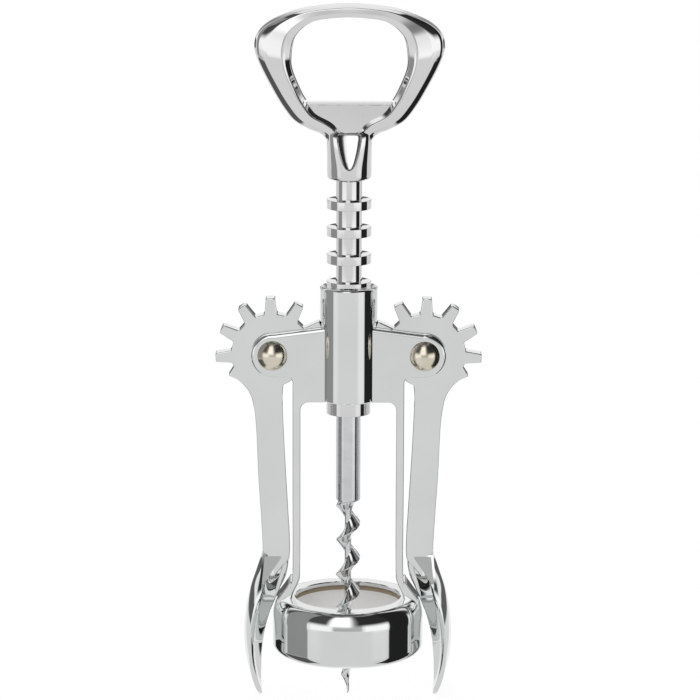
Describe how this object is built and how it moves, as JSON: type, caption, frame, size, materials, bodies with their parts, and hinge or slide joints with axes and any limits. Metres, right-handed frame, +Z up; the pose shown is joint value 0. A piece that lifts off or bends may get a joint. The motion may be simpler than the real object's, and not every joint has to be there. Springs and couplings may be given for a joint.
{
  "type": "wing corkscrew",
  "caption": "Wing corkscrew: cast frame with barrel and bell, two geared lever wings, ring rack, worm, and a loop handle with a cap lifter.",
  "frame": {"origin": "on the worm's axis, in the plane where the bottle's mouth bears on the seat ring inside the bell", "axes": "+Z up along the worm's axis towards the handle, -Y towards the rivets' round heads (the front), levers to -X and +X"},
  "size_m": [0.0662, 0.038, 0.1754],
  "materials": {
    "frame_chrome": "bright chrome plate on a zinc casting",
    "handle_chrome": "bright chrome plate on a zinc casting",
    "lever_chrome": "bright chrome plate on a zinc casting",
    "rack_chrome": "bright chrome plate on turned metal",
    "worm_steel": "plated steel with a ground point",
    "rivet_nickel": "satin nickel plate, warm in tone",
    "seat_nylon": "moulded nylon"
  },
  "bodies": {
    "frame": {"frame_body": "frame_chrome", "seat_ring": "seat_nylon", "rivet_left": "rivet_nickel", "rivet_right": "rivet_nickel"},
    "rack": {"rack_sleeve": "rack_chrome"},
    "spindle": {"handle": "handle_chrome", "worm": "worm_steel"},
    "left_lever": {"lever_left": "lever_chrome"},
    "right_lever": {"lever_right": "lever_chrome"}
  },
  "joints": [
    {"name": "rack_slide", "type": "slide", "parent": "frame", "child": "rack", "axis": [0, 0, -1], "range_m": [0, 0.0335]},
    {"name": "handle_spin", "type": "hinge", "parent": "rack", "child": "spindle", "pos_m": [0, 0, 0.1], "axis": [0, 0, 1], "continuous": true},
    {"name": "lever_left_raise", "type": "hinge", "parent": "frame", "child": "left_lever", "pos_m": [-0.0189, 0, 0.0647], "axis": [0, 1, 0], "range_deg": [0, 150]},
    {"name": "lever_right_raise", "type": "hinge", "parent": "frame", "child": "right_lever", "pos_m": [0.0189, 0, 0.0647], "axis": [0, -1, 0], "range_deg": [0, 150]}
  ],
  "couplings": [
    {"joint": "lever_left_raise", "follows": "rack_slide", "rad_per_m": 78.05},
    {"joint": "lever_right_raise", "follows": "rack_slide", "rad_per_m": 78.05}
  ]
}
